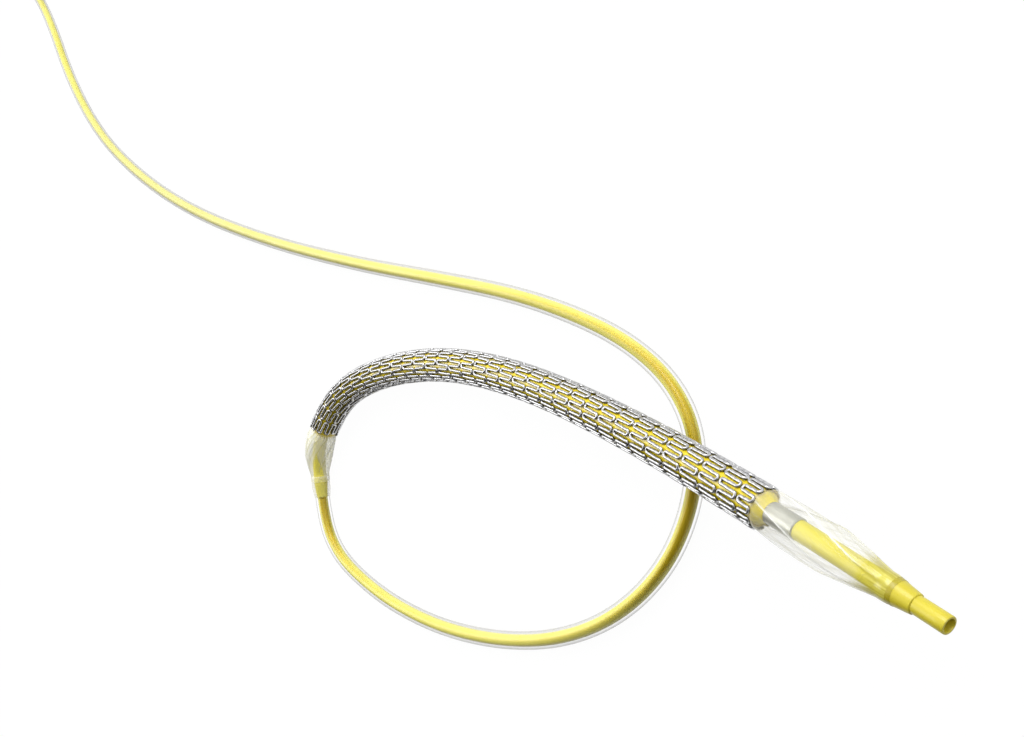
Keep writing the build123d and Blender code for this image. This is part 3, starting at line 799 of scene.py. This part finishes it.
# Studio: a plain white floor that keeps a faint shadow, one soft lamp from the upper side,
# weaker ones from the front and the left, and a room that is darker on the near side.
FLOOR_SIZE = 12.0
FLOOR_GLOW = 1.05
GLOW_SHARE = 0.93          # of the floor's own white in what the camera and reflections see
floor_shape = bmesh.new()
bmesh.ops.create_grid(floor_shape, x_segments=1, y_segments=1, size=FLOOR_SIZE / 2)
floor = finished("floor", floor_shape)
floor_white = bpy.data.materials.new("floor_white")
floor_white.use_nodes = True
tree = floor_white.node_tree
floor_shader = tree.nodes["Principled BSDF"]
floor_shader.inputs["Base Color"].default_value = (0.4, 0.4, 0.4, 1.0)
floor_shader.inputs["Roughness"].default_value = 0.9
glow = tree.nodes.new("ShaderNodeEmission")
glow.inputs["Color"].default_value = (1.0, 1.0, 1.0, 1.0)
glow.inputs["Strength"].default_value = FLOOR_GLOW
ray = tree.nodes.new("ShaderNodeLightPath")
seen = ray.outputs["Is Camera Ray"]
for kind in ("Is Glossy Ray", "Is Transmission Ray"):
    either = tree.nodes.new("ShaderNodeMath")
    either.operation = "MAXIMUM"
    tree.links.new(seen, either.inputs[0])
    tree.links.new(ray.outputs[kind], either.inputs[1])
    seen = either.outputs[0]
share = tree.nodes.new("ShaderNodeMath")
share.operation = "MULTIPLY"
share.inputs[1].default_value = GLOW_SHARE
tree.links.new(seen, share.inputs[0])
blend = tree.nodes.new("ShaderNodeMixShader")
tree.links.new(share.outputs[0], blend.inputs["Fac"])
tree.links.new(floor_shader.outputs[0], blend.inputs[1])
tree.links.new(glow.outputs[0], blend.inputs[2])
tree.links.new(blend.outputs[0], tree.nodes["Material Output"].inputs["Surface"])
floor.data.materials.append(floor_white)


def soft_lamp(name, place, width, watts):
    """Square area lamp that points at the stent."""
    lamp = bpy.data.lights.new(name, "AREA")
    lamp.shape = "SQUARE"
    lamp.size = width
    lamp.energy = watts
    made = bpy.data.objects.new(name, lamp)
    made.location = place
    made.rotation_euler = (-Vector(place)).to_track_quat("-Z", "Y").to_euler()
    bpy.context.scene.collection.objects.link(made)


soft_lamp("key_lamp", (0.05, 0.30, 0.24), 0.26, 1.0)
soft_lamp("front_lamp", (0.36, 0.10, 0.20), 0.20, 0.12)
soft_lamp("left_lamp", (-0.24, 0.04, 0.22), 0.20, 0.4)

world = bpy.data.worlds.new("studio_room")
bpy.context.scene.world = world
world.use_nodes = True
room = world.node_tree
room_light = room.nodes["Background"]
direction = room.nodes.new("ShaderNodeTexCoord")
parts = room.nodes.new("ShaderNodeSeparateXYZ")
room.links.new(direction.outputs["Generated"], parts.inputs[0])
gradient = room.nodes.new("ShaderNodeMapRange")
for socket, value in (("From Min", -0.4), ("From Max", 0.35),
                      ("To Min", 0.02), ("To Max", 0.82)):
    gradient.inputs[socket].default_value = value
room.links.new(parts.outputs["Y"], gradient.inputs["Value"])
room.links.new(gradient.outputs["Result"], room_light.inputs["Strength"])
room_light.inputs["Color"].default_value = (1.0, 1.0, 1.0, 1.0)

# Camera: above the right of the stent, near its tip, with the picture's top towards +Y and
# the shaft running out of the picture at the upper left.
camera_data = bpy.data.cameras.new("camera")
camera_data.sensor_width = 36.0
camera_data.lens = 40.43
camera_data.clip_start = 0.001
camera_data.clip_end = 10.0
camera = bpy.data.objects.new("camera", camera_data)
right = Vector((0.6305, 0.0, -0.7761))
upward = Vector((0.0, 1.0, 0.0))
backward = right.cross(upward)
camera.matrix_world = Matrix.Translation((0.0369, 0.00335, 0.03261)) @ Matrix(
    (right, upward, backward)).transposed().to_4x4()
bpy.context.scene.collection.objects.link(camera)
bpy.context.scene.camera = camera
bpy.context.scene.view_settings.view_transform = "Standard"
